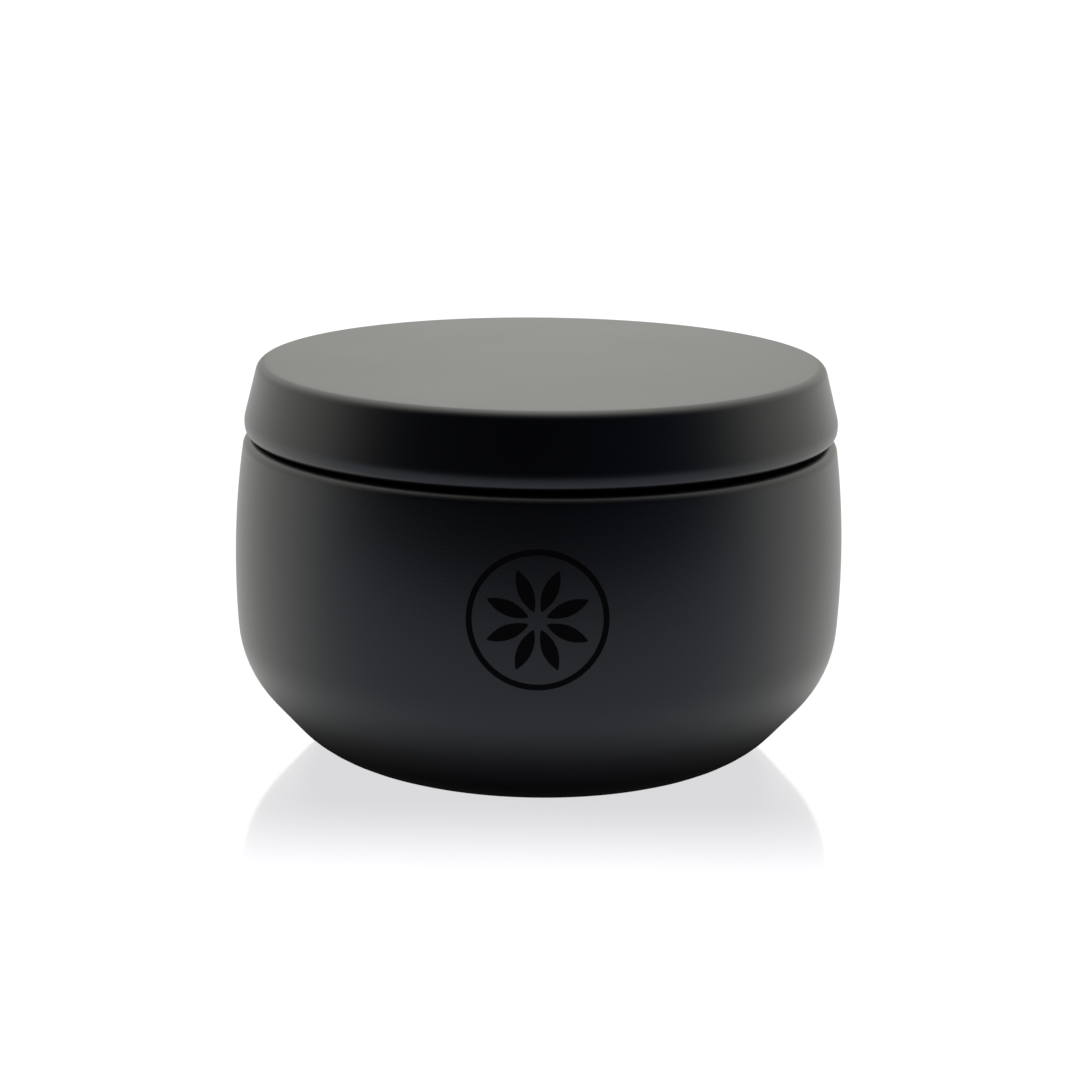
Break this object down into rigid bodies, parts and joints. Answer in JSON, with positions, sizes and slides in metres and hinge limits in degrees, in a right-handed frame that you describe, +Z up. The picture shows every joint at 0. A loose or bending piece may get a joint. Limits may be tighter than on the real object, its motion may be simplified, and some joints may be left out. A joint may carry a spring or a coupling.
{
  "type": "candle tin",
  "caption": "Round-bellied matt black tin with a lift-off slip lid, holding a poured wax candle with its wick and wick sustainer.",
  "frame": {"origin": "on the tin's axis, on the surface that the tin stands on", "axes": "+Z up along the axis of the tin and its lid, the printed front faces -Y, +X to the right seen from the front"},
  "size_m": [0.09, 0.09, 0.0582],
  "materials": {
    "tin_paint": "matt black powder coat on tinplate",
    "wax": null,
    "wick_cotton": "waxed braided cotton",
    "sustainer_metal": "plain pressed tinplate",
    "sticker_foam": "white double-sided adhesive foam"
  },
  "bodies": {
    "tin": {"tin_body": "tin_paint", "wax_fill": "wax", "wick": "wick_cotton", "wick_sustainer": "sustainer_metal", "wick_sticker": "sticker_foam"},
    "lid": {"lid": "tin_paint"}
  },
  "joints": [
    {"name": "lid_lift", "type": "slide", "parent": "tin", "child": "lid", "axis": [0, 0, 1], "range_m": [0, 0.06]}
  ]
}
